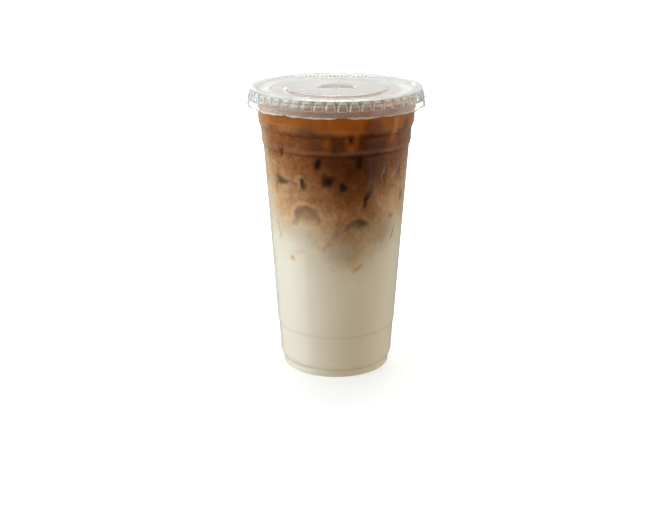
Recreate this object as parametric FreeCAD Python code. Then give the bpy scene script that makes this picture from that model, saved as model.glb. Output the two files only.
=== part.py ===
"""A tall clear cold cup with a flat push-on lid, filled with milk, latte and coffee in layers.

The cup's axis is Z and it stands on the plane z = 0, with the origin under its middle.
All sizes are in millimetres.
"""
import FreeCAD, Part
import math
import os

# Cup
cup_height = 168.8          # resting plane to the top of the rolled rim
rim_radius = 49.0           # outside of the rolled rim
rim_roll_radius = 1.6       # outside of the rim's roll, seen in section
rim_roll_turn = 300.0       # degrees that the rim is rolled through
foot_radius = 32.1          # outside of the foot
cup_wall = 0.5

# Foot and base
foot_corner = 1.0           # rounding where the foot meets the surface it stands on
foot_height = 5.0           # upright wall of the foot
standing_ring_width = 2.6   # flat ring that the cup stands on
base_recess = 2.4           # rise of the base's middle above that ring
base_slope_width = 1.6      # sloping part between the ring and the base's middle

# Steps of the side wall: each has a height and a step outwards
ledge_height = 4.0
ledge_step = 1.7
band_height = 17.5          # plain band between the foot's ledge and the lower ring
ring_height = 2.5
ring_step = 0.45
shoulder_drop = 32.3        # rim top down to the foot of the shoulder
shoulder_height = 3.0
shoulder_step = 0.9
collar_height = 7.8         # plain band between the shoulder and the upper step
top_step_height = 4.7
top_step = 1.3

# Lid
lid_wall = 0.5
lid_seat_gap = 0.2          # between the rim's roll and the lid, on top and at both sides
lid_skirt_drop = 9.6        # rim top down to the lid's lower edge
lid_flare_out = 1.3         # how far the lower edge stands out from the skirt
lid_flare_height = 2.6
lid_flare_lip = 0.9         # upright lip at the very edge
lid_skirt_lean = 0.5        # how far the skirt's foot stands out from its top
lid_bead_corner = 1.5       # rounding along the top of the lid's bead
lid_slope_foot_radius = 37.2
lid_slope_fall = 2.9        # bead top down to the valley
lid_valley_radius = 30.4    # inner edge of the valley
lid_disc_radius = 29.4      # raised disc in the middle
lid_disc_rise = 1.3
lid_dish_radius = 11.5      # shallow dish round the straw slit
lid_dish_slope_width = 1.2
lid_dish_depth = 0.9
slit_length = 19.0
slit_width = 0.4
lug_count = 48
lug_width = 3.4
lug_height = 3.6
lug_depth = 0.15            # how far a lug stands out past the foot of the skirt
lug_rise = 0.5              # from the flare up to the lugs

# Drink
drink_drop = 10.8           # rim top down to the surface of the drink
coffee_drop = 31.0          # rim top down to the underside of the coffee
milk_height = 93.0          # resting plane up to the top of the milk
drink_gap = 0.2             # between the drink and the cup

# Worked out from the sizes above
shoulder_foot = cup_height - shoulder_drop
shoulder_top = shoulder_foot + shoulder_height
top_step_foot = shoulder_top + collar_height
top_step_top = top_step_foot + top_step_height
ledge_top = foot_height + ledge_height
ring_foot = ledge_top + band_height
ring_top = ring_foot + ring_height
roll_centre_radius = rim_radius - rim_roll_radius
roll_centre_height = cup_height - rim_roll_radius
neck_radius = rim_radius - 2 * rim_roll_radius + cup_wall
drink_level = cup_height - drink_drop
coffee_foot = cup_height - coffee_drop


def at(radius, height):
    """A point of a section, which lies in the XZ plane."""
    return FreeCAD.Vector(radius, 0, height)


def on_circle(centre, radius, degrees):
    """A point on a circle in the XZ plane; 0 degrees points outwards and 90 points up."""
    angle = math.radians(degrees)
    return centre + at(radius * math.cos(angle), radius * math.sin(angle))


def arc(centre, radius, start, end):
    """An arc of a circle in the XZ plane, from one angle to another in degrees."""
    middle = (start + end) / 2
    points = [on_circle(centre, radius, degrees) for degrees in (start, middle, end)]
    return Part.Arc(*points).toShape()


def lines(points):
    """Straight edges from each point to the next."""
    return [Part.makeLine(start, end) for start, end in zip(points, points[1:])]


def turned(wire):
    """The solid that a closed section makes when it is turned about the cup's axis."""
    face = Part.Face(wire)
    return face.revolve(FreeCAD.Vector(0, 0, 0), FreeCAD.Vector(0, 0, 1), 360)


def wall_slope():
    """How fast the plain bands widen with height, so that the steps and bands meet the rim."""
    steps = ledge_step + ring_step + shoulder_step + top_step
    plain_height = band_height + (shoulder_foot - ring_top) + collar_height
    plain_height += roll_centre_height - top_step_top
    return (neck_radius - foot_radius - steps) / plain_height


def side_points(inset):
    """The side wall's corners from the foot to the rim's roll, moved inwards by inset."""
    slope = wall_slope()
    radius = foot_radius - inset
    points = [at(radius, foot_height)]
    runs = (
        (ledge_top, ledge_step),
        (ring_foot, slope * band_height),
        (ring_top, ring_step),
        (shoulder_foot, slope * (shoulder_foot - ring_top)),
        (shoulder_top, shoulder_step),
        (top_step_foot, slope * collar_height),
        (top_step_top, top_step),
        (roll_centre_height, slope * (roll_centre_height - top_step_top)),
    )
    for height, widening in runs:
        radius += widening
        points.append(at(radius, height))
    return points


def base_edges(inset):
    """The base from the axis out to the top of the foot, moved inwards and up by inset."""
    corner = max(foot_corner - inset, 0)
    outer = foot_radius - inset
    ring_outer = outer - corner
    ring_inner = foot_radius - foot_corner - standing_ring_width
    points = [
        at(0, base_recess + inset),
        at(ring_inner - base_slope_width, base_recess + inset),
        at(ring_inner, inset),
        at(ring_outer, inset),
    ]
    edges = lines(points)
    if corner > 0:
        edges.append(arc(at(ring_outer, inset + corner), corner, -90, 0))
    edges.append(Part.makeLine(at(outer, inset + corner), at(outer, foot_height)))
    return edges


def make_cup():
    """The thin cup: recessed base, stepped side and a rim rolled outwards."""
    centre = at(roll_centre_radius, roll_centre_height)
    inner_roll = rim_roll_radius - cup_wall
    end = 180 - rim_roll_turn
    outside = base_edges(0) + lines(side_points(0))
    roll = [
        arc(centre, inner_roll, 180, end),
        Part.makeLine(on_circle(centre, inner_roll, end), on_circle(centre, rim_roll_radius, end)),
        arc(centre, rim_roll_radius, end, 180),
    ]
    inside = lines(side_points(cup_wall)[::-1]) + base_edges(cup_wall)[::-1]
    middle = Part.makeLine(at(0, base_recess + cup_wall), at(0, base_recess))
    edges = outside + roll + inside + [middle]
    return turned(Part.Wire(Part.sortEdges(edges)[0]))


def inside_of_cup():
    """The room that the drink can take, up to the rim's roll."""
    inset = cup_wall + drink_gap
    side = side_points(inset)
    top = at(0, side[-1].z)
    closing = lines([side[-1], top, at(0, base_recess + inset)])
    edges = base_edges(inset) + lines(side) + closing
    return turned(Part.Wire(Part.sortEdges(edges)[0]))


def make_layer(room, low, high):
    """The part of the drink between two heights."""
    slab = Part.makeCylinder(rim_radius, high - low, FreeCAD.Vector(0, 0, low))
    return room.common(slab)


def lid_sheet(inset):
    """The lid's section from the lower edge up over the rim and in to the dish.

    It is the upper surface, moved into the sheet by inset.
    """
    top = cup_height + lid_seat_gap + lid_wall - inset
    bead_outer = rim_radius + lid_seat_gap + lid_wall - inset
    bead_inner = rim_radius - 2 * rim_roll_radius - lid_seat_gap - lid_wall + inset
    corner = lid_bead_corner - inset
    foot = cup_height - lid_skirt_drop
    flare_top = foot + lid_flare_lip + lid_flare_height
    valley = cup_height + lid_seat_gap + lid_wall - lid_slope_fall - inset
    edge_radius = bead_outer + lid_skirt_lean + lid_flare_out
    outer_corner = at(bead_outer - corner, top - corner)
    inner_corner = at(bead_inner + corner, top - corner)
    skirt = lines([
        at(edge_radius, foot),
        at(edge_radius, foot + lid_flare_lip),
        at(bead_outer + lid_skirt_lean, flare_top),
        at(bead_outer, top - corner),
    ])
    bead = [
        arc(outer_corner, corner, 0, 90),
        Part.makeLine(outer_corner + at(0, corner), inner_corner + at(0, corner)),
        arc(inner_corner, corner, 90, 180),
    ]
    dish_floor = valley + lid_disc_rise - lid_dish_depth
    plate = lines([
        at(bead_inner, top - corner),
        at(lid_slope_foot_radius, valley),
        at(lid_valley_radius, valley),
        at(lid_disc_radius, valley + lid_disc_rise),
        at(lid_dish_radius, valley + lid_disc_rise),
        at(lid_dish_radius - lid_dish_slope_width, dish_floor),
        at(0, dish_floor),
    ])
    return skirt + bead + plate


def make_lug(index):
    """One of the small lugs round the skirt, which stiffen it where it grips the rim."""
    flare_top = cup_height - lid_skirt_drop + lid_flare_lip + lid_flare_height
    outer = rim_radius + lid_seat_gap + lid_wall + lid_skirt_lean + lug_depth
    inner = rim_radius + lid_seat_gap + lid_wall / 2
    corner = FreeCAD.Vector(inner, -lug_width / 2, flare_top + lug_rise)
    lug = Part.makeBox(outer - inner, lug_width, lug_height, corner)
    lug.rotate(FreeCAD.Vector(0, 0, 0), FreeCAD.Vector(0, 0, 1), index * 360 / lug_count)
    return lug


def make_slit():
    """The crossed slit that a straw pushes open."""
    dish_floor = cup_height + lid_seat_gap + lid_wall - lid_slope_fall
    dish_floor += lid_disc_rise - lid_dish_depth
    low = dish_floor - 2 * lid_wall
    height = 3 * lid_wall
    along = Part.makeBox(
        slit_length, slit_width, height, FreeCAD.Vector(-slit_length / 2, -slit_width / 2, low)
    )
    across = along.copy()
    across.rotate(FreeCAD.Vector(0, 0, 0), FreeCAD.Vector(0, 0, 1), 90)
    return along.fuse(across)


def make_lid():
    """The flat lid that is pushed on over the rim."""
    upper = lid_sheet(0)
    lower = lid_sheet(lid_wall)
    outer_edge = Part.makeLine(upper[0].Vertexes[0].Point, lower[0].Vertexes[0].Point)
    middle = Part.makeLine(upper[-1].Vertexes[-1].Point, lower[-1].Vertexes[-1].Point)
    edges = upper + lower + [outer_edge, middle]
    plate = turned(Part.Wire(Part.sortEdges(edges)[0]))
    lugs = [make_lug(index) for index in range(lug_count)]
    return plate.fuse(lugs).cut(make_slit())


def save(name, shape):
    """Write one piece to its own file and print what it measures."""
    solids = shape.Solids
    if len(solids) != 1 or not shape.isValid():
        raise ValueError(f"{name} has {len(solids)} solids and its validity is {shape.isValid()}")
    solids[0].exportStep(f"parts/{name}.step")
    box = solids[0].BoundBox
    print(f"{name}: {solids[0].Volume / 1000:.2f} ml, z {box.ZMin:.2f} to {box.ZMax:.2f}")


os.makedirs("parts", exist_ok=True)
room = inside_of_cup()
save("cup", make_cup())
save("lid", make_lid())
save("milk", make_layer(room, 0, milk_height))
save("latte", make_layer(room, milk_height, coffee_foot))
save("coffee", make_layer(room, coffee_foot, drink_level))
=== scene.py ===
"""A tall clear cold cup of iced coffee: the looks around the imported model.

Sizes are written in millimetres and turned to metres where a mesh is made. Heights are taken
from the foot, angles in degrees from the shown side (-Y), growing towards +X.
"""
import math
import random

import bmesh
import bpy
import numpy as np
from mathutils import Matrix, Vector, noise


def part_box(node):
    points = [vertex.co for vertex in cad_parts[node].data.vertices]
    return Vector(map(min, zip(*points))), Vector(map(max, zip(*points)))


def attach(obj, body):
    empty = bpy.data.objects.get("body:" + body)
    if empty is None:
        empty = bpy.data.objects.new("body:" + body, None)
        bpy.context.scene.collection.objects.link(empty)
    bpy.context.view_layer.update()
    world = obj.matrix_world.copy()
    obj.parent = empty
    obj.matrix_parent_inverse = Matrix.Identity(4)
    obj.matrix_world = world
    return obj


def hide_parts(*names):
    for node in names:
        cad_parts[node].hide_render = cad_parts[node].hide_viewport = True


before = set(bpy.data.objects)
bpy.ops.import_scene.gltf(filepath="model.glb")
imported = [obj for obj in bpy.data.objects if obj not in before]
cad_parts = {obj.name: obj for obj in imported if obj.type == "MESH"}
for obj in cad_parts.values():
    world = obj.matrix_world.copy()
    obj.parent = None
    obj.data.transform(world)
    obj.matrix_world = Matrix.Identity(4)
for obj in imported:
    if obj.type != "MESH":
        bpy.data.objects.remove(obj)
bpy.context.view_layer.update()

MM = 0.001
ICE_SEED, MARK_SEED, BUBBLE_SEED = 7, 31, 19

# -------- sizes from the frame


def height_of(node, end):
    """Lowest (end 0) or highest (end 1) point of a CAD node, in millimetres."""
    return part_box(node)[end][2] / MM


def radius_of(node):
    """Largest radius of a CAD node that is turned about Z, in millimetres."""
    low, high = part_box(node)
    return (high[0] - low[0]) / 2 / MM


CUP_HEIGHT = height_of("cup", 1)
RIM_RADIUS = round(radius_of("cup"), 1)
DRINK_LEVEL = height_of("coffee", 1)
MILK_TOP = height_of("milk", 1)
LID_TOP = height_of("lid", 1)
LID_FOOT = height_of("lid", 0)
LID_RADIUS = round(radius_of("lid"), 1)

# Cup, with the sizes of its CAD solid
WALL = 0.5
ROLL_RADIUS = 1.6
ROLL_TURN = 300
FOOT_RADIUS = 32.1
FOOT_CORNER = 1.0
FOOT_HEIGHT = 5.0
BASE_RECESS = 2.4
STANDING_RING = 2.6
BASE_SLOPE = 1.6
SHOULDER_FOOT = CUP_HEIGHT - 32.3
SHOULDER_RISE = 3.0
BAND = 7.8  # plain band between the two upper steps
# Steps in the wall: height of the foot, how high each is and how far it steps outwards
STEPS = (
    (FOOT_HEIGHT, 4.0, 1.7),
    (26.5, 2.5, 0.45),
    (SHOULDER_FOOT, SHOULDER_RISE, 0.9),
    (SHOULDER_FOOT + SHOULDER_RISE + BAND, 4.7, 1.3),
)
BEAD_RISE = 0.14  # faint bead along the top of each step
BEAD_WIDTH = 0.8
CUP_SEGMENTS = 224
ROLL_HEIGHT = CUP_HEIGHT - ROLL_RADIUS
NECK_RADIUS = RIM_RADIUS - 2 * ROLL_RADIUS + WALL

# Drink
INTO_WALL = 0.2  # how far the drink reaches into the wall
DRINK_FINE_FROM = 56  # the drink's mesh is finer above this height
DRINK_STEP = 0.8  # and its points are at most this far apart in height there
DRINK_SEGMENTS = 380
CLIMB = 6.0  # how far the drink climbs the wall at its top
CLIMB_BAND = 6.0  # height of the band that is stretched upwards for it
CLIMB_WAVES = ((0.5, 3, 1), (0.35, 7, 0.5), (0.3, 17, 0), (0.25, 41, 2))


def smooth(value, low, high):
    """0 below low, 1 above high and an even ease between them."""
    share = np.clip((value - low) / (high - low), 0, 1)
    return share * share * (3 - 2 * share)


def waves(angle, parts):
    """Several waves round the axis added up; each part is its share, its number and its turn."""
    return sum(share * np.sin(number * angle + turn) for share, number, turn in parts)


def stepped(height):
    """How much all steps together widen the wall: a quarter round with a sharp foot each."""
    total = 0
    for foot, rise, out in STEPS:
        share = np.clip((height - foot) / rise, 0, 1)
        total = total + out * np.sqrt(1 - (1 - share) ** 2)
        total = total + BEAD_RISE * np.exp(-((height - foot - rise) / BEAD_WIDTH) ** 2)
    return total


def plain_below(height):
    """How much of the wall below a height is plain taper, so not foot and not step."""
    taken = sum(np.clip(height - foot, 0, rise) for foot, rise, _ in STEPS)
    return np.maximum(height - FOOT_HEIGHT, 0) - taken


TAPER = (NECK_RADIUS - FOOT_RADIUS - stepped(ROLL_HEIGHT)) / plain_below(ROLL_HEIGHT)


def wall_radius(height):
    """Outside radius of the cup's wall."""
    return FOOT_RADIUS + stepped(height) + TAPER * plain_below(height)


# -------- mesh helpers

ON_AXIS = 1e-6  # a radius below this counts as none


def piece_of(bm, mesh):
    """A new piece with smooth faces from a bmesh, named like the mesh that takes it over."""
    bm.to_mesh(mesh)
    bm.free()
    mesh.shade_smooth()
    piece = bpy.data.objects.new(mesh.name, mesh)
    bpy.context.collection.objects.link(piece)
    return piece


def arc(centre, radius, start, end, count):
    """Points of an arc in a section, from one angle to another."""
    return [
        (centre[0] + radius * math.cos(math.radians(a)), centre[1] + radius * math.sin(math.radians(a)))
        for a in np.linspace(start, end, count)
    ]


def rounded(points, radius, count=5):
    """A section's corners softened: each inner corner becomes a short curve of count stretches."""
    soft = [points[0]]
    for before, corner, after in zip(points, points[1:], points[2:]):
        before, corner, after = Vector(before), Vector(corner), Vector(after)
        reach = min(radius, (before - corner).length * 0.45, (after - corner).length * 0.45)
        start = corner + (before - corner).normalized() * reach
        end = corner + (after - corner).normalized() * reach
        for i in range(count + 1):
            t = i / count
            soft.append(tuple(start * (1 - t) ** 2 + corner * 2 * t * (1 - t) + end * t * t))
    return soft + [points[-1]]


def divided(points, step):
    """The same section with no stretch longer than step."""
    fine = []
    for start, end in zip(points, points[1:]):
        count = max(1, math.ceil(math.dist(start, end) / step))
        fine += [
            (start[0] + (end[0] - start[0]) * i / count, start[1] + (end[1] - start[1]) * i / count)
            for i in range(count)
        ]
    return fine + [points[-1]]


def turned(name, section, segments, shape=None):
    """A mesh turned about Z from a section of (radius, height) points.

    shape(radii, heights, angles) may move the points: it returns new radii and heights.
    A section that starts or ends on the axis gets one point there. Where it does neither, its
    last point is joined to its first.
    """
    radii, heights = np.array(section).T
    angles = np.linspace(0, 2 * math.pi, segments, endpoint=False)
    r = np.repeat(radii[:, None], segments, 1)
    z = np.repeat(heights[:, None], segments, 1)
    if shape:
        r, z = shape(r, z, np.repeat(angles[None, :], len(section), 0))
    x = r * np.sin(angles)
    y = -r * np.cos(angles)
    rows, verts, faces = [], [], []
    for i in range(len(section)):
        if radii[i] < ON_AXIS:
            rows.append([len(verts)] * segments)
            verts.append((0, 0, float(z[i].mean()) * MM))
        else:
            rows.append(list(range(len(verts), len(verts) + segments)))
            verts += [(x[i, j] * MM, y[i, j] * MM, z[i, j] * MM) for j in range(segments)]
    pairs = list(zip(rows, rows[1:]))
    if radii[0] > ON_AXIS and radii[-1] > ON_AXIS:
        pairs.append((rows[-1], rows[0]))
    for low, high in pairs:
        for j in range(segments):
            k = (j + 1) % segments
            corners = [low[j], low[k], high[k], high[j]]
            face = [c for n, c in enumerate(corners) if c not in corners[:n]]
            if len(face) > 2:
                faces.append(face)
    mesh = bpy.data.meshes.new(name)
    mesh.from_pydata(verts, [], faces)
    bm = bmesh.new()
    bm.from_mesh(mesh)
    bmesh.ops.recalc_face_normals(bm, faces=bm.faces)
    return piece_of(bm, mesh)


# -------- material helpers

PLASTIC_IOR, ICE_IOR, WATER_IOR, DRINK_IOR = 1.46, 1.31, 1.33, 1.34
PLASTIC_TINT = (0.95, 0.97, 0.945, 1)
LIT_THROUGH = (0.93, 0.93, 0.92, 1)  # what a lamp's light keeps of its colour through plastic
GREY_SHADE_TINT = (0.43, 0.42, 0.45, 1)  # painted grey shade: darkens the drink by this where ice is behind the wall
GREY_SHADE_MILK = (0.42, 0.40, 0.38, 1)  # and milk towards this
# Painted dark shade: the drink is darkened by this in ice pockets and at the steps' feet
PAINTED_SHADE_TINT = (0.20, 0.13, 0.11, 1)
ICE_CLOUDY = (0.80, 0.77, 0.72, 1)
ICE_CLEAR = (0.97, 0.95, 0.92, 1)
FOAM = (0.86, 0.66, 0.44, 1)
# Colour of the drink by its share of coffee, and then of light that glows through it
DRINK_COLOURS = (
    (0.00, "ebe6dc"), (0.12, "e2d9cb"), (0.22, "dac8b0"), (0.32, "d4b38e"), (0.42, "c4a07c"),
    (0.51, "ae8159"), (0.61, "9c6941"), (0.70, "895530"), (0.80, "764223"), (0.90, "68381d"),
    (1.00, "592c16"),
)
GLOW_COLOURS = ((0.00, "d8b080"), (0.25, "cf9860"), (0.55, "c77a30"), (1.00, "c86c12"))
# Painted highlight: ice edges and step crests are lightened towards this
PAINTED_HIGHLIGHT_COLOUR = "e8cfae"
# Finishes of the lid: name, roughness and haze. The hazy one also paints the sheen on the lug
# faces, and the frosted one paints white edge reflections on the lip, lug sides and rib ridges.
LID_FINISHES_AND_SHEENS = (
    ("clear_lid_plastic", 0.03, 0.10),
    ("hazy_sheen_lid_plastic", 0.08, 0.15),
    ("frosted_glint_lid_plastic", 0.15, 0.55),
)


def new_material(name):
    """An empty node material and its tree."""
    mat = bpy.data.materials.new(name)
    mat.use_nodes = True
    mat.node_tree.nodes.clear()
    return mat, mat.node_tree


def finished(mat, shader):
    """The material, ending in a shader."""
    add(mat.node_tree, "ShaderNodeOutputMaterial", Surface=shader.outputs[0])
    return mat


def put(tree, socket, value):
    """Give a socket a plain value, or link it where the value is a socket too."""
    if isinstance(value, bpy.types.NodeSocket):
        tree.links.new(value, socket)
    else:
        socket.default_value = value


def add(tree, kind, **inputs):
    """A node with values or links on the inputs that are named."""
    node = tree.nodes.new(kind)
    for key, value in inputs.items():
        put(tree, node.inputs[key.replace("_", " ")], value)
    return node


def maths(tree, operation, *values, clamp=False):
    """A Math node; each value is a number or a socket."""
    node = add(tree, "ShaderNodeMath")
    node.operation = operation
    node.use_clamp = clamp
    for socket, value in zip(node.inputs, values):
        put(tree, socket, value)
    return node.outputs[0]


def product(tree, first, *others):
    """Several values multiplied in turn."""
    for value in others:
        first = maths(tree, "MULTIPLY", first, value)
    return first


def largest(tree, first, *others):
    """The largest of several values."""
    for value in others:
        first = maths(tree, "MAXIMUM", first, value)
    return first


def centred(tree, value, reach):
    """A value from 0 to 1 carried to the range from -reach to reach."""
    return maths(tree, "MULTIPLY_ADD", value, 2 * reach, -reach)


def mixed(tree, factor, first, second, blend="MIX"):
    """A colour mix; each value is a colour or a socket."""
    node = add(tree, "ShaderNodeMix")
    node.data_type = "RGBA"
    node.blend_type = blend
    for index, value in ((0, factor), (6, first), (7, second)):
        put(tree, node.inputs[index], value)
    return node.outputs[2]


def either_shader(tree, factor, first, second):
    """A mix of two shaders."""
    node = add(tree, "ShaderNodeMixShader")
    for socket, value in zip(node.inputs, (factor, first.outputs[0], second.outputs[0])):
        tree.links.new(value, socket)
    return node


def own_place(tree):
    """The place of each point in its piece."""
    return add(tree, "ShaderNodeTexCoord").outputs["Object"]


def squeezed(tree, place, factors):
    """A place scaled by a factor for each direction."""
    node = add(tree, "ShaderNodeVectorMath")
    node.operation = "MULTIPLY"
    put(tree, node.inputs[0], place)
    put(tree, node.inputs[1], factors)
    return node.outputs[0]


def ramp(tree, factor, stops):
    """A colour ramp; stops are (place, colour)."""
    node = add(tree, "ShaderNodeValToRGB")
    put(tree, node.inputs[0], factor)
    elements = node.color_ramp.elements
    while len(elements) < len(stops):
        elements.new(0.5)
    for element, (place, colour) in zip(elements, stops):
        element.position = place
        element.color = colour
    return node.outputs[0]


def srgb(text):
    """A linear colour from its usual six-digit form."""
    parts = [int(text[i:i + 2], 16) / 255 for i in (0, 2, 4)]
    return tuple(c / 12.92 if c <= 0.04045 else ((c + 0.055) / 1.055) ** 2.4 for c in parts) + (1.0,)


def noise_of(tree, place, scale, detail, roughness):
    """The value of a noise texture at a place."""
    node = add(tree, "ShaderNodeTexNoise", Vector=place, Scale=scale, Detail=detail, Roughness=roughness)
    return node.outputs[0]


def moulding_group():
    """Shared by the cup and the lid: the faint unevenness of thin drawn plastic, as a height."""
    group = bpy.data.node_groups.new("drawn_plastic", "ShaderNodeTree")
    group.interface.new_socket("Flow Scale", in_out="INPUT", socket_type="NodeSocketFloat")
    group.interface.new_socket("Stretch", in_out="INPUT", socket_type="NodeSocketFloat")
    group.interface.new_socket("Height", in_out="OUTPUT", socket_type="NodeSocketFloat")
    start = add(group, "NodeGroupInput")
    stretch = add(group, "ShaderNodeCombineXYZ", X=1.0, Y=1.0, Z=start.outputs["Stretch"])
    place = squeezed(group, own_place(group), stretch.outputs[0])
    add(group, "NodeGroupOutput", Height=noise_of(group, place, start.outputs["Flow Scale"], 2.0, 0.4))
    return group


def clear_plastic(name, group, roughness, haze, flow_scale, stretch, bump):
    """Clear drawn plastic. Lamps shine through it; haze is its share of pale body colour."""
    mat, tree = new_material(name)
    flow = add(tree, "ShaderNodeGroup")
    flow.node_tree = group
    flow.inputs["Flow Scale"].default_value = flow_scale
    flow.inputs["Stretch"].default_value = stretch
    relief = add(tree, "ShaderNodeBump", Strength=bump, Distance=0.0005, Height=flow.outputs["Height"])
    plastic = add(
        tree, "ShaderNodeBsdfPrincipled", Base_Color=PLASTIC_TINT, Roughness=roughness, IOR=PLASTIC_IOR,
        Transmission_Weight=1 - haze, Normal=relief.outputs[0],
    )
    in_shadow = add(tree, "ShaderNodeLightPath").outputs["Is Shadow Ray"]
    through = add(tree, "ShaderNodeBsdfTransparent", Color=LIT_THROUGH)
    return finished(mat, either_shader(tree, in_shadow, plastic, through))


def drink_material():
    """Milk at the foot, latte above it and coffee on top, with cloudy borders.

    The mesh carries five values on its points: coffee, the share of coffee; deep, grey and pale,
    the painted dark shade, grey shade and highlight where ice stands behind the wall and along the
    steps; and ember, the painted glow where light shines through.
    """
    mat, tree = new_material("layered_drink")
    place = own_place(tree)
    values = {}
    for name in ("coffee", "deep", "grey", "ember", "pale"):
        node = add(tree, "ShaderNodeAttribute")
        node.attribute_name = name
        values[name] = node.outputs["Fac"]
    fine = centred(tree, noise_of(tree, place, 420.0, 4.0, 0.65), 0.15)
    wisps = centred(tree, noise_of(tree, place, 90.0, 4.0, 0.6), 0.13)
    streaks = centred(tree, noise_of(tree, squeezed(tree, place, (1, 1, 0.22)), 260.0, 3.0, 0.55), 0.07)
    shift = maths(tree, "ADD", maths(tree, "ADD", fine, wisps), streaks)
    milky = maths(tree, "MULTIPLY", values["coffee"], 3.0, clamp=True)
    level = maths(tree, "MULTIPLY_ADD", shift, milky, values["coffee"], clamp=True)
    colour = ramp(tree, level, [(share, srgb(text)) for share, text in DRINK_COLOURS])
    glow = ramp(tree, level, [(share, srgb(text)) for share, text in GLOW_COLOURS])
    # Painted glow where light shines through the drink
    colour = mixed(tree, values["ember"], colour, glow)
    # Painted highlight on ice edges and step crests
    colour = mixed(tree, values["pale"], colour, mixed(tree, 0.5, colour, srgb(PAINTED_HIGHLIGHT_COLOUR)))
    # Painted grey shade where ice stands behind the wall, greyer in the milk
    milkiness = maths(tree, "MULTIPLY_ADD", level, -0.24, 0.24, clamp=True)
    greyed = mixed(tree, 1.0, colour, GREY_SHADE_TINT, blend="MULTIPLY")
    greyed = mixed(tree, milkiness, greyed, GREY_SHADE_MILK)
    colour = mixed(tree, values["grey"], colour, greyed)
    # Painted dark shade in ice pockets and at the steps' feet
    dark = mixed(tree, 1.0, colour, PAINTED_SHADE_TINT, blend="MULTIPLY")
    colour = mixed(tree, values["deep"], colour, dark)
    body = add(
        tree, "ShaderNodeBsdfPrincipled", Base_Color=colour, Roughness=0.4, IOR=DRINK_IOR,
        Specular_IOR_Level=0.15,
    )
    return finished(mat, body)


def ice_material():
    """Clear ice with a cloudy heart."""
    mat, tree = new_material("ice")
    heart = noise_of(tree, own_place(tree), 160.0, 3.0, 0.6)
    relief = add(tree, "ShaderNodeBump", Strength=0.3, Distance=0.0006, Height=heart)
    ice = add(
        tree, "ShaderNodeBsdfPrincipled", Roughness=0.08, IOR=ICE_IOR, Transmission_Weight=0.85,
        Base_Color=ramp(tree, heart, [(0.35, ICE_CLOUDY), (0.65, ICE_CLEAR)]), Normal=relief.outputs[0],
    )
    return finished(mat, ice)


def bubble_material():
    """Thin pale foam bubbles."""
    mat, tree = new_material("bubbles")
    bubble = add(
        tree, "ShaderNodeBsdfPrincipled", Base_Color=FOAM, Roughness=0.1, IOR=WATER_IOR,
        Transmission_Weight=0.6,
    )
    return finished(mat, bubble)


# -------- cup


def base_section(inset):
    """The base from the axis out to the top of the foot, moved in and up by inset."""
    corner = max(FOOT_CORNER - inset, 0.3)
    outer = FOOT_RADIUS - inset
    ring_inner = FOOT_RADIUS - FOOT_CORNER - STANDING_RING
    points = [
        (0, BASE_RECESS + inset),
        (ring_inner - BASE_SLOPE, BASE_RECESS + inset),
        (ring_inner, inset),
        (outer - corner, inset),
    ]
    base = divided(rounded(points, 0.6), 4.0)[:-1]
    return base + arc((outer - corner, inset + corner), corner, -90, 0, 6)


def side_section(inset, top, step=1.6):
    """The side wall from the foot up to top, moved in by inset, finer at its steps."""
    heights = list(np.arange(FOOT_CORNER + 1.0, top, step))
    for foot, rise, _ in STEPS:
        heights += [foot - 0.05, foot + 0.02, foot + 0.1]
        heights += list(np.linspace(foot + 0.25, foot + rise + 1.6, 12))
    heights = sorted({round(float(h), 3) for h in heights if h < top} | {top})
    kept = [heights[0]]
    for height in heights[1:]:
        if height - kept[-1] > 0.05:
            kept.append(height)
    kept[-1] = top
    return [(float(wall_radius(h)) - inset, h) for h in kept]


def make_cup():
    """The thin clear cup with its stepped wall and rolled rim."""
    centre = (RIM_RADIUS - ROLL_RADIUS, ROLL_HEIGHT)
    end = 180 - ROLL_TURN
    outside = base_section(0) + side_section(0, ROLL_HEIGHT)
    roll = arc(centre, ROLL_RADIUS - WALL, 180, end, 18)[1:] + arc(centre, ROLL_RADIUS, end, 180, 22)
    inside = side_section(WALL, ROLL_HEIGHT)[:-1][::-1] + base_section(WALL)[::-1]
    return turned("clear_cup", outside + roll + inside, CUP_SEGMENTS)


# -------- lid

LID_WALL = 0.5
# The bead runs round the top. Outside it the skirt goes down and flares to its lip. Inside it a
# ribbed slope leads down to a valley round the raised disc, which has a dish with a straw slit.
BEAD_CORNER = 1.5
BEAD_OUTER = 49.7
BEAD_INNER = 45.1
SKIRT_FOOT = BEAD_OUTER + 0.5
FLARE_LIP = 0.9
FLARE_TOP = LID_FOOT + FLARE_LIP + 2.6
SLOPE_FOOT = 37.2
VALLEY_HEIGHT = LID_TOP - 2.0
VALLEY_INNER = 30.4
DISC_RADIUS = 29.4
DISC_HEIGHT = VALLEY_HEIGHT + 1.2
DISH_RADIUS = 11.5
DISH_SLOPE = 1.2
DISH_DEPTH = 0.9
RIB_COUNT = 108
RIB_DEPTH = 0.36
RIDGE = 0.6  # a rib's ridge is where its wave is above this
LUG_COUNT = 48
LUG_OUT = (1.1, 0.35)  # how far a lug stands out at its foot and at its top
LUG_TOP = LID_TOP - 2.3
LUG_GAPS = (0.07, 0.24)  # half a gap between lugs at their foot and top, of a pitch
SLIT_TURNS = (0, 90)
SLIT_REACH = 9.5
LID_SEGMENTS = 864  # 18 for each lug, 8 for each rib
EDGE_WAVE = 0.27  # how wavy the lower edge is
EDGE_WAVES = ((1, 11, 1.3), (0.7, 17, 0.4), (0.6, 29, 0), (0.35, 47, 2.1))
SLIT_DEPTH = 0.6
SLIT_BANK = 0.18  # how much the plate rises beside the slit


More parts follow.
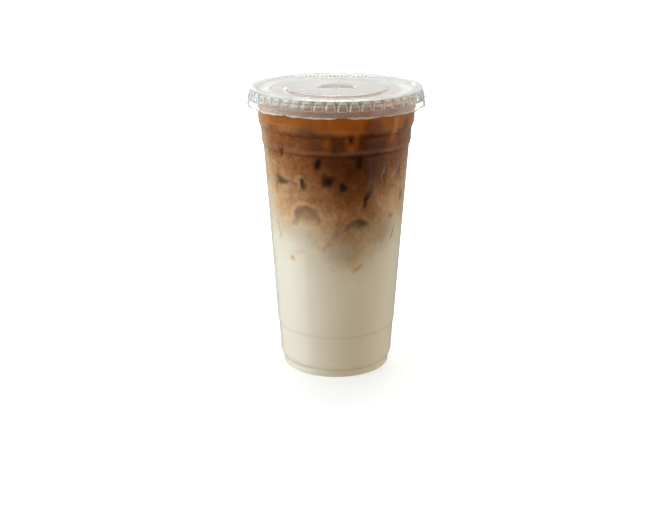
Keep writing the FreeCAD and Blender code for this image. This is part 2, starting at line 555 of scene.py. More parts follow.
def lid_section(inset, corners, skirt_step, plate_step, dish_step):
    """The lid's upper surface from its lower edge to the axis, moved into the sheet by inset.

    corners is how many points round each corner, and the steps are the greatest gaps between points.
    """
    corner = BEAD_CORNER - inset
    skirt = [
        (LID_RADIUS - inset, LID_FOOT),
        (LID_RADIUS - inset, LID_FOOT + FLARE_LIP),
        (SKIRT_FOOT - inset, FLARE_TOP),
        (BEAD_OUTER - inset, LID_TOP - BEAD_CORNER),
    ]
    middle = LID_TOP - BEAD_CORNER
    bead = arc((BEAD_OUTER - BEAD_CORNER, middle), corner, 0, 90, corners + 2)[1:]
    bead += arc((BEAD_INNER + BEAD_CORNER, middle), corner, 90, 150, corners + 1)
    plate = [
        bead[-1],
        (SLOPE_FOOT, VALLEY_HEIGHT - inset),
        (VALLEY_INNER, VALLEY_HEIGHT - inset),
        (DISC_RADIUS, DISC_HEIGHT - inset),
        (DISH_RADIUS + 1.5, DISC_HEIGHT - inset),
    ]
    dish = [
        (DISH_RADIUS, DISC_HEIGHT - inset),
        (DISH_RADIUS - DISH_SLOPE, DISC_HEIGHT - DISH_DEPTH - inset),
        (0, DISC_HEIGHT - DISH_DEPTH - inset),
    ]
    section = divided(rounded(skirt, 0.5, corners), skirt_step) + bead
    section += divided(rounded(plate, 0.6, corners), plate_step)[1:]
    return section + divided(rounded(dish, 0.5, corners), dish_step)


def lug_at(z, angle):
    """How much of a lug there is at a height and an angle: 1 on its face, 0 beside it."""
    up_lug = np.clip((z - FLARE_TOP) / (LUG_TOP - FLARE_TOP), 0, 1)
    half_gap = LUG_GAPS[0] + (LUG_GAPS[1] - LUG_GAPS[0]) * up_lug
    off_middle = np.abs((angle * LUG_COUNT / (2 * math.pi)) % 1 - 0.5)
    across = smooth(0.5 - half_gap - off_middle, -0.045, 0.045)
    above_foot = smooth(z, FLARE_TOP + 0.1, FLARE_TOP + 0.5)
    return across * above_foot * (1 - smooth(z, LUG_TOP - 0.3, LUG_TOP + 0.3))


def lid_shape(r, z, angle, upper):
    """Moulded relief of the lid: lugs round the skirt, ribs on the slope, wavy edge, slit.

    upper is 1 on the rows of the outer surface and 0 on those of the inner one.
    """
    on_skirt = r > BEAD_OUTER - 1.2
    up_lug = np.clip((z - FLARE_TOP) / (LUG_TOP - FLARE_TOP), 0, 1)
    r = r + (LUG_OUT[0] + (LUG_OUT[1] - LUG_OUT[0]) * up_lug) * lug_at(z, angle) * on_skirt
    edge = (1 - smooth(z, LID_FOOT + 0.3, FLARE_TOP)) * on_skirt
    z = z + EDGE_WAVE * waves(angle, EDGE_WAVES) * edge
    on_slope = smooth(r, SLOPE_FOOT + 0.2, SLOPE_FOOT + 1.2)
    on_slope = on_slope * (1 - smooth(r, BEAD_INNER - 1.4, BEAD_INNER - 0.5))
    z = z + RIB_DEPTH * np.cos(RIB_COUNT * angle) * on_slope * (upper - 0.5)
    in_dish = 1 - smooth(r, SLIT_REACH - 0.9, SLIT_REACH)
    for degrees in SLIT_TURNS:
        across = np.abs(r * np.sin(angle - math.radians(degrees)))
        z = z - SLIT_DEPTH * in_dish * (1 - smooth(across, 0.15, 0.6))
        z = z + SLIT_BANK * in_dish * smooth(across, 0.35, 0.8) * (1 - smooth(across, 0.8, 2.6))
    return r, z


def make_lid():
    """The clear flat lid. Its plate and lug faces are hazy (second material), the lug faces as a
    painted sheen; its rib ridges, lug sides and lip are frosted (third) as painted white edge
    reflections.
    """
    outer = lid_section(0, corners=4, skirt_step=0.66, plate_step=2.6, dish_step=1.2)
    inner = lid_section(LID_WALL, corners=2, skirt_step=1.3, plate_step=3.8, dish_step=2.0)[::-1]
    upper = np.repeat([[1.0]] * len(outer) + [[0.0]] * len(inner), LID_SEGMENTS, 1)

    def shape(r, z, angle):
        return lid_shape(r, z, angle, upper)

    lid = turned("flat_lid", outer + inner, LID_SEGMENTS, shape)
    for face in lid.data.polygons:
        x, y, z = face.center / MM
        reach = math.hypot(x, y)
        angle = math.atan2(x, -y)
        on_slope = SLOPE_FOOT + 0.4 < reach < BEAD_INNER - 0.4
        on_rib = on_slope and math.cos(RIB_COUNT * angle) > RIDGE
        on_skirt = reach > BEAD_INNER and z < LUG_TOP + 0.3
        at_lip = on_skirt and z < LID_FOOT + 0.6
        beside_lug = on_skirt and 0.03 < lug_at(z, angle) < 0.97
        on_disc = DISH_RADIUS - DISH_SLOPE < reach < DISC_RADIUS - 0.2
        in_valley = VALLEY_INNER + 0.3 < reach < SLOPE_FOOT + 0.4
        # Painted reflections: frosted lip, lug sides and rib ridges stand for white edges caught in the
        # light
        if at_lip or beside_lug or on_rib:
            face.material_index = 2
        # hazy lug faces stand for their sheen; the disc and valley are plain hazy plastic
        elif on_disc or in_valley or (on_skirt and lug_at(z, angle) >= 0.97):
            face.material_index = 1
    return lid


# -------- ice

ICE_SIDE = 20.0
ICE_SIZES = (0.8, 1.05)  # smallest and largest cube, of the usual side
ICE_SQUARE = 6.0  # how square a cube still is: 2 is a ball
ICE_UNEVEN = 0.05
ICE_CUTS = 9
ICE_COUNT = 46
ICE_BAND = (84, 152)  # heights between which the ice at the back lies
ICE_APART = 16.5
ICE_GAP = (0.6, 1.0)  # between a cube and the wall
ICE_TOP_ROOM = 0.8  # least gap between the ice and the lid
BACK = (76, 284)  # angles of the side that isn't shown
SCATTER_TRIES = 6000
# Where each part of a cube lies from the cube's middle
TOUCHING = {"corner": (1, 1, 1), "edge": (1, 1, 0), "face": (1, 0, 0)}
# Ice that touches the wall: angle, height, the part of the cube that touches and its spin
FRONT_ICE = [
    (-46, 136, "corner", 20), (-14, 132, "edge", 8), (-46, 119, "edge", 70), (-27, 121, "corner", 75),
    (-7, 122, "corner", 10), (5, 119, "corner", 50), (18, 133, "edge", 12), (26, 113, "edge", 30),
    (40, 125, "edge", 10), (58, 124, "corner", 0), (67, 108, "edge", 15), (-25, 100, "face", 24),
    (18, 95, "face", 80), (-7, 86, "edge", 38), (-58, 91, "edge", 4), (-41, 75, "corner", 40),
    (51, 98, "corner", 25), (55, 87, "edge", 10), (35, 88, "edge", 6), (11, 146, "corner", 65),
    (60, 148, "face", 35), (-30, 147, "corner", 15), (-66, 149, "face", 50), (19, 70, "edge", 45),
]
# Ice afloat in the middle: angle round the cup, how far it stands out of the drink and its spin
AFLOAT = [(20, 2.2, 30), (95, 3.4, 75), (160, 1.6, 10), (235, 3.0, 50), (305, 2.4, 85)]
AFLOAT_REACH = 19


def ice_cube(side, seed):
    """One half-melted cube as a bmesh: rounded edges and an uneven skin."""
    bm = bmesh.new()
    bmesh.ops.create_cube(bm, size=2.0)
    bmesh.ops.subdivide_edges(bm, edges=bm.edges, cuts=ICE_CUTS, use_grid_fill=True)
    offset = Vector((seed * 3.1, seed * 1.7, seed * 0.9))
    for vert in bm.verts:
        p = vert.co
        size = sum(abs(c) ** ICE_SQUARE for c in p) ** (1 / ICE_SQUARE)
        vert.co = p / size * side / 2
        vert.co *= 1 + ICE_UNEVEN * noise.noise(vert.co * 0.16 + offset)
    return bm


def place_ice(bm, angle, height, part, spin, gap):
    """Turn a cube so that the named part faces the wall, and set it gap away from the wall there."""
    turn = math.radians(angle)
    out = Vector((math.sin(turn), -math.cos(turn), 0))
    facing = Vector(TOUCHING[part]).normalized().rotation_difference(out).to_matrix().to_4x4()
    bm.transform(Matrix.Rotation(math.radians(spin), 4, out) @ facing)
    reach = max(vert.co.dot(out) for vert in bm.verts)
    wall = float(wall_radius(height)) - WALL
    centre = out * (wall - gap - reach)
    centre.z = height
    bm.transform(Matrix.Translation(centre))
    spread = [math.hypot(vert.co.x, vert.co.y) - float(wall_radius(vert.co.z)) for vert in bm.verts]
    bm.transform(Matrix.Translation(-out * (max(spread) + WALL + gap)))
    top = max(vert.co.z for vert in bm.verts)
    limit = VALLEY_HEIGHT - LID_WALL - ICE_TOP_ROOM
    if top > limit:
        bm.transform(Matrix.Translation((0, 0, limit - top)))


def float_ice(bm, angle, above, spin):
    """Let a cube float in the middle, turned by spin, with its top above the drink."""
    lean = Matrix.Rotation(math.radians(spin * 0.3 + 8), 4, "X")
    bm.transform(Matrix.Rotation(math.radians(spin), 4, "Z") @ lean)
    lift = DRINK_LEVEL + above - max(vert.co.z for vert in bm.verts)
    turn = math.radians(angle)
    place = Vector((AFLOAT_REACH * math.sin(turn), -AFLOAT_REACH * math.cos(turn), lift))
    bm.transform(Matrix.Translation(place))


def round_gap(first, second):
    """Degrees between two angles, the short way round."""
    apart = abs(first - second) % 360
    return min(apart, 360 - apart)


def scattered(generator, taken, count, low, high, apart):
    """Places (angle, height) over the back of the wall, at least so many millimetres apart."""
    places = list(taken)
    found = []
    for _ in range(SCATTER_TRIES):
        if len(found) >= count:
            break
        angle = generator.uniform(*BACK)
        height = generator.uniform(low, high)
        gaps = [
            math.hypot(math.radians(round_gap(angle, other)) * RIM_RADIUS * 0.85, height - level)
            for other, level in places
        ]
        if not gaps or min(gaps) > apart:
            places.append((angle, height))
            found.append((angle, height))
    return found


def make_ice():
    """All ice cubes as one piece: the shown side as listed, then the rest evenly scattered."""
    generator = random.Random(ICE_SEED)
    spots = list(FRONT_ICE)
    taken = [spot[:2] for spot in spots]
    for angle, height in scattered(generator, taken, ICE_COUNT - len(spots), *ICE_BAND, ICE_APART):
        part = generator.choice(["corner", "corner", "edge", "edge", "face"])
        spots.append((angle, height, part, generator.uniform(0, 90)))
    spots += [(angle, height, "afloat", spin) for angle, height, spin in AFLOAT]
    mesh = bpy.data.meshes.new("ice_cubes")
    joined = bmesh.new()
    for index, (angle, height, part, spin) in enumerate(spots):
        bm = ice_cube(ICE_SIDE * generator.uniform(*ICE_SIZES), index)
        if part == "afloat":
            float_ice(bm, angle, height, spin)
        else:
            place_ice(bm, angle, height, part, spin, generator.uniform(*ICE_GAP))
        bm.transform(Matrix.Scale(MM, 4))
        bm.to_mesh(mesh)
        bm.free()
        joined.from_mesh(mesh)
    return piece_of(joined, mesh)


# -------- drink

# Share of coffee by height: beside the tongue of coffee that reaches down, and along its middle
SHARE_HEIGHTS = (56, 68, 80, 90, 102, 112, 123, 132, 141, 150, 158)
SIDE_SHARES = (0, 0, 0.05, 0.16, 0.31, 0.41, 0.5, 0.6, 0.68, 0.68, 0.66)
TONGUE_SHARES = (0.02, 0.11, 0.23, 0.36, 0.55, 0.68, 0.8, 0.95, 0.95, 0.9, 0.85)
TONGUE_ANGLE = 12
TONGUE_WIDTH = 32
FLANKS = ((-85, 0.6), (85, 0.25))  # where the drink is milkier, and by how much
FLANK_WIDTH = 22
GLOW_FOOT = 150.4  # lower edge of the painted orange glow under the lid
OCTAVES = 3  # how many finer layers the noise has
PATCH_SQUARE = 2.6  # how square the marks are: 2 is an oval
# Painted light marks round the back: how many, between which heights, how far apart, and which are
# painted dark shade or grey shade
MARK_COUNT = 60
MARK_BAND = (64, 150)
MARKS_APART = 9.5
DEEP_ABOVE = 106
GREY_ABOVE = 82
HALO = 1.2  # painted grey shade round each deep mark
HALO_SHARE = 0.5
BUBBLE_COUNT = 150
BUBBLE_SIZES = (0.35, 1.0)

# Marks on the drink's side, where ice stands behind the wall, painted as light and shade: DEEP is
# dark shade, GREY grey shade, EMBER and GLOW glow, PALE highlight. Each has its angle and height,
# half its width and half its height in millimetres and how strong it is. Then it may have its lean
# in degrees and how it narrows towards its top (1) or its foot (-1).
DEEP = [
    (-46, 136.8, 2.3, 2.6, 0.75, 0, -0.7), (-45, 140.8, 0.9, 0.6, 0.4), (-63, 135, 1.3, 1.2, 0.35),
    (-14.3, 132.2, 1.6, 3.7, 1, 4), (12.5, 135.7, 0.9, 1.1, 0.7), (17.6, 132.9, 1.9, 3.8, 0.85, -4),
    (10.9, 125.1, 0.8, 0.9, 0.5), (6.9, 131.5, 0.7, 0.7, 0.4), (-26.8, 120.5, 1.4, 3.3, 0.9, -8),
    (-6.9, 122.3, 3.2, 3.7, 1, 12), (4.6, 119, 2.3, 2.7, 1, -14),
    (24.9, 111.2, 1.2, 6.2, 0.9, 21, -0.3), (-48, 120.2, 2.8, 5.2, 0.55, 90, 0.8),
    (-38, 120.2, 0.5, 3.4, 0.5, 96), (58.3, 124.5, 1.3, 4, 0.35, 6), (67, 108.8, 1.4, 2.8, 0.5),
    (-69.6, 120.3, 1.2, 1.6, 0.25), (-55.7, 116, 0.8, 2, 0.35), (31.8, 137.9, 1.8, 0.8, 0.6),
    (10.6, 146.3, 0.9, 1.6, 0.9, 10), (20.6, 97, 4.2, 3.2, 0.5, -20), (55.4, 87.6, 0.5, 4, 0.55, 33),
    (-0.5, 138.6, 2.2, 1.4, 0.3), (41.5, 124, 1, 4.6, 0.3, 5), (-20, 150.4, 7, 2, 0.3, 4),
    (27, 152.6, 6, 4.8, 0.5), (-52, 150.2, 4, 1.6, 0.25), (60, 150.6, 3.4, 4, 0.4),
]
GREY = [
    (-47, 120.2, 2.6, 5.4, 0.9, 90, 0.8), (-1.2, 118.6, 5.2, 1.9, 0.5, -12),
    (28.8, 117.8, 1.6, 3.6, 0.7, 18), (50, 117.4, 1.7, 2.4, 0.6), (41, 123.5, 1.8, 5, 0.5, 4),
    (58.3, 124.2, 1.9, 4.6, 0.6, 6), (-35.5, 97.2, 2.6, 3.2, 0.6, 15), (10, 95.4, 3.6, 2.6, 0.6, 20),
    (22, 96, 4, 3, 0.5, -10), (0, 91.4, 2.2, 4.8, 0.62, 38), (35.2, 88.3, 0.9, 2.6, 0.6, 18),
    (50.8, 98.5, 2.8, 2, 0.7, 0, -0.6), (-58, 91, 0.6, 5.4, 0.5, -24), (-3, 70, 2.8, 1, 0.2, 30),
    (-67.8, 67.7, 1.5, 1.8, 0.15), (10, 87, 14, 14, 0.42), (38, 92, 12, 12, 0.4),
    (30, 128, 7, 14, 0.45, 8), (-25, 88, 12, 5, 0.12),
]
EMBER = [
    (-8.4, 84.2, 1.3, 3.8, 0.6, 38), (-41.4, 74.1, 1.6, 1.6, 0.75, 0, 0.8),
    (-33, 78.9, 1.6, 4.6, 0.28, 78), (18.8, 69.9, 1.2, 3.8, 0.8, 48), (30.7, 78.5, 1.3, 2, 0.3, 30),
    (-44.9, 94.6, 0.7, 2.6, 0.35, -12), (-55, 86.2, 0.7, 1.4, 0.4, -20), (4, 100, 9, 3, 0.12),
    (10, 75, 6, 5, 0.12),
]
# Soft orange light that comes down from the top between the ice
GLOW = [
    (-7.2, 144.8, 2, 4.6, 0.5), (13.8, 149, 2, 7, 0.75, -5), (11.2, 141.8, 3.4, 2, 0.8),
    (7.4, 145.2, 1.5, 3.6, 0.55), (45.6, 147.6, 2.6, 7.6, 0.75, 6), (8, 152, 9, 4.4, 0.5),
    (-48, 149, 5, 5, 0.25), (62, 150, 5, 6, 0.4),
]
# Painted highlights where ice edges catch the light
PALE = [
    (-31.2, 121, 1.6, 2.8, 0.5), (38.8, 125, 0.5, 5.8, 0.5, 3), (-24, 97.5, 5.6, 3.6, 0.35),
    (46.8, 152, 2.2, 5.2, 0.45, 4),
]
# Curved edges of ice, painted as highlight (PALE_ARCHES) or glow (EMBER_ARCHES): angle and height
# of the middle, half width and height, line width, strength
PALE_ARCHES = [(-29.2, 120.4, 3.4, 4, 1, 0.4), (-25.5, 98.2, 11, 10.8, 1.4, 0.42)]
EMBER_ARCHES = [(-24.5, 98, 6.6, 6.6, 1.6, 0.3)]
# Rounded tops of ice, painted as grey shade: angle and height of the middle, half width and height,
# strength
DOMES = [(-25.5, 98.2, 9.2, 9, 0.85), (17.8, 93, 8.4, 7.4, 1)]


def cloud(place, size, seed):
    """Soft noise from -1 to 1 with features of about size, in millimetres."""
    total, weight = 0.0, 1.0
    for octave in range(OCTAVES):
        total += weight * noise.noise(place * (2 ** octave / size) + Vector((seed, -seed, 3 * seed)))
        weight *= 0.5
    return total


def clouds(points, size, seed, upright=1.0):
    """cloud() at every point; upright above 1 draws its features out in height."""
    squeeze = np.array([1, 1, 1 / upright])
    return np.array([cloud(Vector(p), size, seed) for p in points * squeeze])


def by_wall(radius, height):
    """Whether a point of the drink lies on its side, so within a millimetre of the wall's outside."""
    return radius > wall_radius(height) - 1.0


class Side:
    """Where the points of the drink lie on its unrolled side, with an uneven shift for soft edges."""

    def __init__(self, points):
        self.radius = np.hypot(points[:, 0], points[:, 1])
        self.angle = np.arctan2(points[:, 0], -points[:, 1])
        self.height = points[:, 2]
        self.on_side = by_wall(self.radius, self.height)
        self.shift = 1.1 * clouds(points, 4.2, 8.8)
        self.rise = 1.1 * clouds(points, 4.2, 3.7)

    def around(self, angle, height):
        """Millimetres round the wall and up it from a place."""
        turn = (self.angle - math.radians(angle) + math.pi) % (2 * math.pi) - math.pi
        return turn * self.radius + self.shift, self.height - height + self.rise

    def patch(self, angle, height, wide, tall, strength, lean=0, narrows=0, soft=1):
        """A patch that may lean and narrow towards one end; soft is its border, of its half size."""
        across, up = self.around(angle, height)
        cosine, sine = math.cos(math.radians(lean)), math.sin(math.radians(lean))
        across, up = across * cosine - up * sine, across * sine + up * cosine
        width = wide * np.clip(1 - narrows * up / tall, 0.12, 2) / (1 + abs(narrows) * 0.4)
        off = np.abs(across / width) ** PATCH_SQUARE + np.abs(up / tall) ** PATCH_SQUARE
        inside = 1.12 - off ** (1 / PATCH_SQUARE)
        return strength * smooth(inside, -soft * 0.4, soft) * self.on_side

    def arch(self, angle, height, wide, tall, line, strength):
        """The upper half of an oval line."""
        across, up = self.around(angle, height)
        off = np.abs(np.hypot(across / wide, up / tall) - 1) * min(wide, tall)
        upper = smooth(up, -0.25 * tall, 0.1 * tall)
        return strength * (1 - smooth(off, line * 0.3, line)) * upper * self.on_side

    def dome(self, angle, height, wide, tall, strength):
        """A rounded top that is strongest just inside its edge and fades downwards."""
        across, up = self.around(angle, height)
        off = np.hypot(across / wide, up / tall)
        body = (1 - smooth(off, 0.88, 1.02)) * (0.6 + 0.4 * smooth(off, 0.35, 0.85))
        return strength * body * smooth(up, -0.45 * tall, 0.35 * tall) * self.on_side


def strongest(*lists):
    """The strongest of several lists of masks at each point."""
    return np.max(sum(lists, []), axis=0)


def back_marks(generator):
    """Painted marks for the side that the lists leave out: dark shade in the coffee, grey shade and
    orange glow lower down.
    """
    deep, grey, ember = [], [], []
    for angle, height in scattered(generator, [], MARK_COUNT, *MARK_BAND, MARKS_APART):
        size = generator.uniform(0.8, 2.4)
        longer = generator.uniform(1.0, 2.6)
        lean = generator.choice([generator.uniform(-40, 40), generator.uniform(60, 110)])
        narrows = generator.choice([0, 0, 0.7, -0.7])
        strength = generator.uniform(0.45, 1.0)
        if height > DEEP_ABOVE:
            deep.append((angle, height, size, size * longer, strength, lean, narrows))
        elif height > GREY_ABOVE:
            grey.append((angle, height, size * 1.6, size * 2.2, strength * 0.7, lean, narrows))
        else:
            ember.append((angle, height, size * 0.7, size * longer * 0.8, strength * 0.7, lean, narrows))
    return deep, grey, ember


def coffee_shares(points, side):
    """How much coffee there is at each point: 0 is milk, 1 is coffee. One tongue reaches down."""
    apart = (np.degrees(side.angle) - TONGUE_ANGLE + 180) % 360 - 180
    tongue = np.exp(-(apart / TONGUE_WIDTH) ** 2) + 0.5 * np.exp(-((np.abs(apart) - 150) / 40) ** 2)
    height = side.height + 4.0 * clouds(points, 22.0, 5.1) + 4.5 * clouds(points, 8.0, 2.3, upright=1.5)
    beside = np.interp(height, SHARE_HEIGHTS, SIDE_SHARES)
    middle = np.interp(height, SHARE_HEIGHTS, TONGUE_SHARES)
    turned_by = np.degrees(side.angle)
    flank = sum(amount * np.exp(-((turned_by - angle) / FLANK_WIDTH) ** 2) for angle, amount in FLANKS)
    return (beside + (middle - beside) * tongue) * (1 - flank)


def crease_shade(side):
    """Painted shade: darker lines along the foot of each step in the wall, fainter in the milk."""
    lines = [np.exp(-((side.height - foot + 0.1) / 0.6) ** 2) for foot, _, _ in STEPS]
    return (0.07 + 0.22 * (side.height > MILK_TOP)) * np.max(lines, axis=0) * side.on_side


def crest_highlights(side):
    """Painted highlight: paler lines along the rounded top of each step in the wall."""
    lines = [np.exp(-((side.height - foot - 0.7 * rise) / 1.1) ** 2) for foot, rise, _ in STEPS]
    return 0.2 * np.max(lines, axis=0) * side.on_side


def top_glow(points, side):
    """Painted glow: the thin orange band under the lid where light shines through the drink, uneven
    at its lower edge.
    """
    middle = np.exp(-((np.degrees(side.angle) - 2) / 18) ** 2)
    right = np.exp(-((np.degrees(side.angle) - 30) / 45) ** 2)
    edge = GLOW_FOOT - 1.4 * middle + 2.4 * clouds(points, 12.0, 6.6)
    amount = 0.38 + 0.25 * clouds(points, 9.0, 1.9) + 0.36 * right
    return smooth(side.height, edge - 2.5, edge + 3.5) * amount * (0.25 + 0.75 * side.on_side)


def drink_shape(r, z, angle):
    """The top of the drink: it climbs the wall and is uneven in the middle."""
    beside = by_wall(r, z)
    rise = CLIMB + waves(angle, CLIMB_WAVES)
    side_z = z + rise * smooth(z, DRINK_LEVEL - CLIMB_BAND, DRINK_LEVEL)
    from_wall = np.maximum(wall_radius(DRINK_LEVEL) - WALL - r, 0)
    swell = 0.35 * np.sin(r * 0.35 + 2 * np.sin(angle)) * np.cos(3 * angle + r * 0.12) * smooth(r, 1, 8)
    top_z = z + (rise * np.exp(-from_wall / 1.8) + swell) * (z > DRINK_LEVEL - 0.01)
    climbing = beside & (z > DRINK_LEVEL - CLIMB_BAND)
    new_r = np.where(climbing, wall_radius(side_z) - WALL + INTO_WALL, r)
    return new_r, np.where(beside, side_z, top_z)


def drink_section():
    """The drink's outline, just into the wall, with a flat top."""
    inset = WALL - INTO_WALL
    side = side_section(inset, DRINK_LEVEL, DRINK_STEP)
    lower = [point for point in side_section(inset, DRINK_LEVEL) if point[1] < DRINK_FINE_FROM]
    upper = [point for point in side if point[1] >= DRINK_FINE_FROM]
    rim = side[-1][0]
    top = [(rim - gap, DRINK_LEVEL) for gap in (0.5, 1.1, 1.8, 2.8, 4.0)]
    top += divided([(rim - 5.5, DRINK_LEVEL), (0, DRINK_LEVEL)], 2.5)
    return base_section(inset) + lower + upper + top


def make_drink():
    """The drink as one body. Each point carries how much coffee it has and the painted shade, glow and
    highlight that mark it.
    """
    drink = turned("iced_coffee_drink", drink_section(), DRINK_SEGMENTS, drink_shape)
    mesh = drink.data
    points = np.empty(len(mesh.vertices) * 3)
    mesh.vertices.foreach_get("co", points)
    points = points.reshape(-1, 3) / MM
    side = Side(points)
    deep, grey, ember = back_marks(random.Random(MARK_SEED))
    # Painted grey shade round each deep mark
    halo = [
        (angle, height, wide + HALO, tall + HALO, HALO_SHARE * strength, *turn)
        for angle, height, wide, tall, strength, *turn in DEEP + deep
    ]

    def patches(marks, soft):
        return [side.patch(*mark, soft=soft) for mark in marks]

    def arches(marks):
        return [side.arch(*mark) for mark in marks]

    domes = [side.dome(*mark) for mark in DOMES]
    glow = patches(GLOW, 1.5) + [top_glow(points, side)]
    values = {
        "coffee": coffee_shares(points, side),
        "deep": strongest(patches(DEEP + deep, 0.8), [crease_shade(side)]),
        "grey": strongest(patches(GREY + grey + halo, 0.75), domes),
        "ember": strongest(patches(EMBER + ember, 0.8), arches(EMBER_ARCHES), glow),
        "pale": strongest(patches(PALE, 1), arches(PALE_ARCHES), [crest_highlights(side)]),
    }
    for name, numbers in values.items():
        layer = mesh.attributes.new(name, "FLOAT", "POINT")
        layer.data.foreach_set("value", np.clip(numbers, 0, 1).astype(np.float32))
    return drink


def make_bubbles():
    """Small bubbles in a broken ring where the drink meets the wall."""
    generator = random.Random(BUBBLE_SEED)
    joined = bmesh.new()
    for _ in range(BUBBLE_COUNT):
        angle = generator.uniform(0, 2 * math.pi)
        if noise.noise(Vector((math.sin(angle) * 2, math.cos(angle) * 2, 0.5))) < -0.15:
            continue
        size = generator.uniform(*BUBBLE_SIZES)
        radius = float(wall_radius(DRINK_LEVEL)) - WALL - size * 0.8 - abs(generator.gauss(0, 0.8))
        spot = (radius * math.sin(angle), -radius * math.cos(angle), DRINK_LEVEL + size * 0.2)
        bmesh.ops.create_icosphere(joined, subdivisions=2, radius=size, matrix=Matrix.Translation(spot))
    joined.transform(Matrix.Scale(MM, 4))
    return piece_of(joined, bpy.data.meshes.new("surface_bubbles"))


# -------- stage, lamps and camera

FLOOR_SIZE = 6.0
SHADOW_REACH = (0.07, 0.30)  # the floor turns from lit to plain white between these
DIM_FILL = (0.22, 0.21, 0.20, 1)  # reaches what stands in the open
FLOOR_FILL = (0.96, 0.80, 0.55, 1)  # reaches the drink through the cup from below
FRONT_FILL = (0.20, 0.13, 0.05, 1)  # from the front
LEFT_FILL = (1.00, 0.98, 0.95, 1)  # from the left
RIGHT_FILL = (0.62, 0.57, 0.47, 1)  # and from the right
SCREEN_LIGHT = 0.8  # brightness of the screens that reflections see
BACK_SHEEN = 0.30  # how much brighter it is high up behind the cup
SIDE_SHEEN = 0.4  # and at the window on the left
WINDOW_GLINT = 3.0  # how much brighter a window behind the cup is
FLOOR_SEEN = (0.80, 0.80, 0.79, 1)  # the floor's colour to the eye
FLOOR_BOUNCE = (0.22, 0.16, 0.09, 1)  # and to the light that it throws back
SHADOW_LIFT = 0.52  # how far the floor's own white lifts its shadow

# Lamps: name, angle, height, distance, width and height in metres, power in watts, and colour
LAMPS = (
    ("left_panel", -76, 0.22, 0.95, (1.2, 0.8), 8.9, (0.80, 0.90, 1)),
    ("right_panel", 95, 0.25, 1.1, (0.9, 0.8), 3.8, (0.94, 0.97, 1)),
    ("top_panel", 180, 1.1, 0.3, (0.7, 0.7), 6.5, (1, 1, 0.98)),
)
CAMERA_PLACE = (-0.0025, -0.6342, 0.2705)
CAMERA_DOWN = 18.09  # degrees that it looks down
CAMERA_LENS = 59.64
CAMERA_SENSOR = 36.0


def range_of(tree, value, low, high, to_low=0.0, to_high=1.0):
    """A value carried smoothly from one range to another."""
    node = add(
        tree, "ShaderNodeMapRange", Value=value, From_Min=low, From_Max=high, To_Min=to_low, To_Max=to_high
    )
    node.interpolation_type = "SMOOTHSTEP"
    return node.outputs["Result"]


def where(tree, *spans):
    """A mask that is bright where all spans are. Each is a value, where it starts to count and where
    it counts in full, and perhaps the brightness at both."""
    return product(tree, *[range_of(tree, *span) for span in spans])


def sight(tree):
    """Three masks: rays that see straight or through glass, rays that a gloss has turned, and rays
    that bring light through glass to a matt surface."""
    path = add(tree, "ShaderNodeLightPath").outputs
    through = path["Is Transmission Ray"]
    to_matt = maths(tree, "GREATER_THAN", path["Diffuse Depth"], 0.5)
    to_gloss = maths(tree, "GREATER_THAN", path["Glossy Depth"], 0.5)
    plain = maths(tree, "SUBTRACT", 1.0, largest(tree, to_matt, to_gloss))
    straight = largest(tree, path["Is Camera Ray"], product(tree, through, plain))
    gloss_only = maths(tree, "SUBTRACT", to_gloss, to_matt, clamp=True)
    mirrored = maths(tree, "SUBTRACT", path["Is Glossy Ray"], through, clamp=True)
    turned_away = largest(tree, mirrored, product(tree, through, gloss_only))
    return straight, turned_away, product(tree, through, to_matt)


def floor_material():
    """Pale floor: white to the eye and through glass, with its shadow kept. Its bounce is dim and warm."""
    mat, tree = new_material("pale_floor")
    length = add(tree, "ShaderNodeVectorMath")
    length.operation = "LENGTH"
    put(tree, length.inputs[0], own_place(tree))
    far = range_of(tree, length.outputs["Value"], *SHADOW_REACH, SHADOW_LIFT, 1.0)
    seen, _, soaked = sight(tree)
    floor = add(tree, "ShaderNodeBsdfDiffuse", Color=mixed(tree, seen, FLOOR_BOUNCE, FLOOR_SEEN))
    lift = add(
        tree, "ShaderNodeEmission", Color=mixed(tree, soaked, (1, 1, 1, 1), FLOOR_FILL),
        Strength=maths(tree, "ADD", product(tree, seen, far), soaked),
    )
    both = add(tree, "ShaderNodeAddShader")
    put(tree, both.inputs[0], floor.outputs[0])
    put(tree, both.inputs[1], lift.outputs[0])
    return finished(mat, both)


def make_floor():
    """A wide floor under the cup."""
    bm = bmesh.new()
    bmesh.ops.create_grid(bm, x_segments=8, y_segments=8, size=FLOOR_SIZE)
    floor = piece_of(bm, bpy.data.meshes.new("floor"))
    floor.data.materials.append(floor_material())
    floor.visible_glossy = False


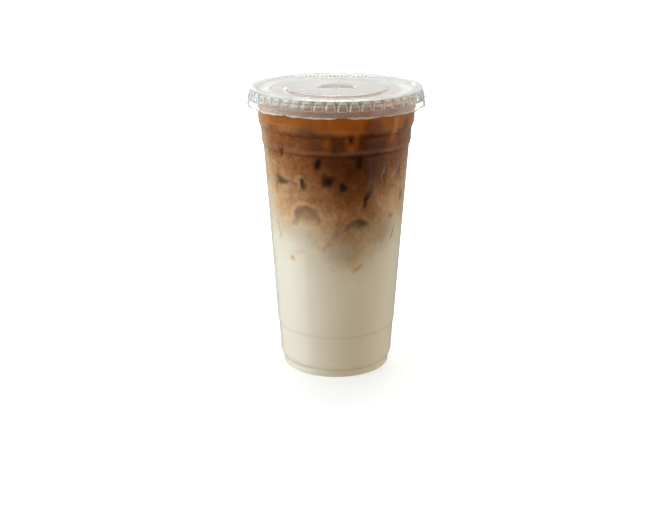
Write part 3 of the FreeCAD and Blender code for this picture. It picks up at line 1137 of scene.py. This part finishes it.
def make_world():
    """White to the eye and through glass. Reflections see pale screens behind, above and at the
    sides and a dark room in front. The rest is a dim warm fill."""
    world = bpy.data.worlds.new("studio")
    bpy.context.scene.world = world
    world.use_nodes = True
    tree = world.node_tree
    tree.nodes.clear()
    place = add(tree, "ShaderNodeTexCoord").outputs["Generated"]
    east, north, up = add(tree, "ShaderNodeSeparateXYZ", Vector=place).outputs
    behind = where(tree, (north, 0.45, 0.60), (up, -0.20, 0.0, 0.3, 1.0))
    sky = where(tree, (up, 0.10, 0.18), (north, 0.55, 0.75, 0.0, BACK_SHEEN))
    above = where(tree, (up, 0.48, 0.60), (north, -0.60, -0.45))
    left = where(tree, (up, -0.20, -0.12), (east, -0.72, -0.80))
    side_window = where(tree, (up, 0.04, 0.10), (east, -0.70, -0.80, 0.0, SIDE_SHEEN))
    right = where(tree, (east, 0.72, 0.77, 0.0, 0.32))
    window = where(tree, (north, 0.90, 0.93), (east, -0.16, -0.20), (up, 0.02, 0.05, 0.0, WINDOW_GLINT))
    behind = maths(tree, "ADD", behind, sky)
    left = maths(tree, "ADD", left, side_window)
    screens = maths(tree, "ADD", largest(tree, behind, above, left, right), window)
    seen, reflected, soaked = sight(tree)
    shown = add(
        tree, "ShaderNodeBackground", Color=(1, 1, 1, 1),
        Strength=largest(tree, seen, product(tree, reflected, screens, SCREEN_LIGHT)),
    )
    around = mixed(tree, range_of(tree, east, -0.4, 0.4), LEFT_FILL, RIGHT_FILL)
    around = mixed(tree, range_of(tree, north, -0.6, -0.1), FRONT_FILL, around)
    fill = add(tree, "ShaderNodeBackground", Color=mixed(tree, soaked, DIM_FILL, around))
    mix = either_shader(tree, largest(tree, seen, reflected), fill, shown)
    add(tree, "ShaderNodeOutputWorld", Surface=mix.outputs[0])


def make_lamp(name, angle, height, distance, size, power, colour):
    """A soft panel that faces the cup from an angle."""
    data = bpy.data.lights.new(name, "AREA")
    data.shape = "RECTANGLE"
    data.size, data.size_y = size
    data.energy = power
    data.color = colour
    lamp = bpy.data.objects.new(name, data)
    bpy.context.collection.objects.link(lamp)
    turn = math.radians(angle)
    lamp.location = (distance * math.sin(turn), -distance * math.cos(turn), height)
    aim = Vector((0, 0, CUP_HEIGHT * MM / 2)) - lamp.location
    lamp.rotation_euler = aim.to_track_quat("-Z", "Y").to_euler()
    lamp.visible_glossy = False


def make_camera():
    """A camera a little above the cup, looking down at it."""
    data = bpy.data.cameras.new("camera")
    data.lens = CAMERA_LENS
    data.sensor_width = CAMERA_SENSOR
    camera = bpy.data.objects.new("camera", data)
    bpy.context.collection.objects.link(camera)
    camera.location = CAMERA_PLACE
    camera.rotation_euler = (math.radians(90 - CAMERA_DOWN), 0, 0)
    bpy.context.scene.camera = camera


# -------- all together


def finish_piece(piece, slot, *materials):
    """Give a piece its materials and let it ride on the part. The slot argument is not used."""
    for material in materials:
        piece.data.materials.append(material)
    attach(piece, "root")


def build():
    """Make every piece of the drink and the studio round it."""
    make_camera()
    drawn = moulding_group()
    cup = make_cup()
    plastic = clear_plastic(
        "clear_cup_plastic", drawn, roughness=0.02, haze=0.0, flow_scale=14.0, stretch=0.35, bump=0.05
    )
    finish_piece(cup, "clear_cup", plastic)
    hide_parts("cup")
    lid = make_lid()
    finishes_and_sheens = [
        clear_plastic(name, drawn, roughness, haze, flow_scale=60.0, stretch=1.0, bump=0.15)
        for name, roughness, haze in LID_FINISHES_AND_SHEENS
    ]
    finish_piece(lid, "clear_lid", *finishes_and_sheens)
    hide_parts("lid")
    finish_piece(make_ice(), "clear_cup", ice_material())
    drink = make_drink()
    finish_piece(drink, "latte", drink_material())
    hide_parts("milk", "latte", "coffee")
    finish_piece(make_bubbles(), "coffee", bubble_material())
    make_floor()
    make_world()
    for lamp in LAMPS:
        make_lamp(*lamp)
    bpy.context.scene.view_settings.view_transform = "Standard"


build()
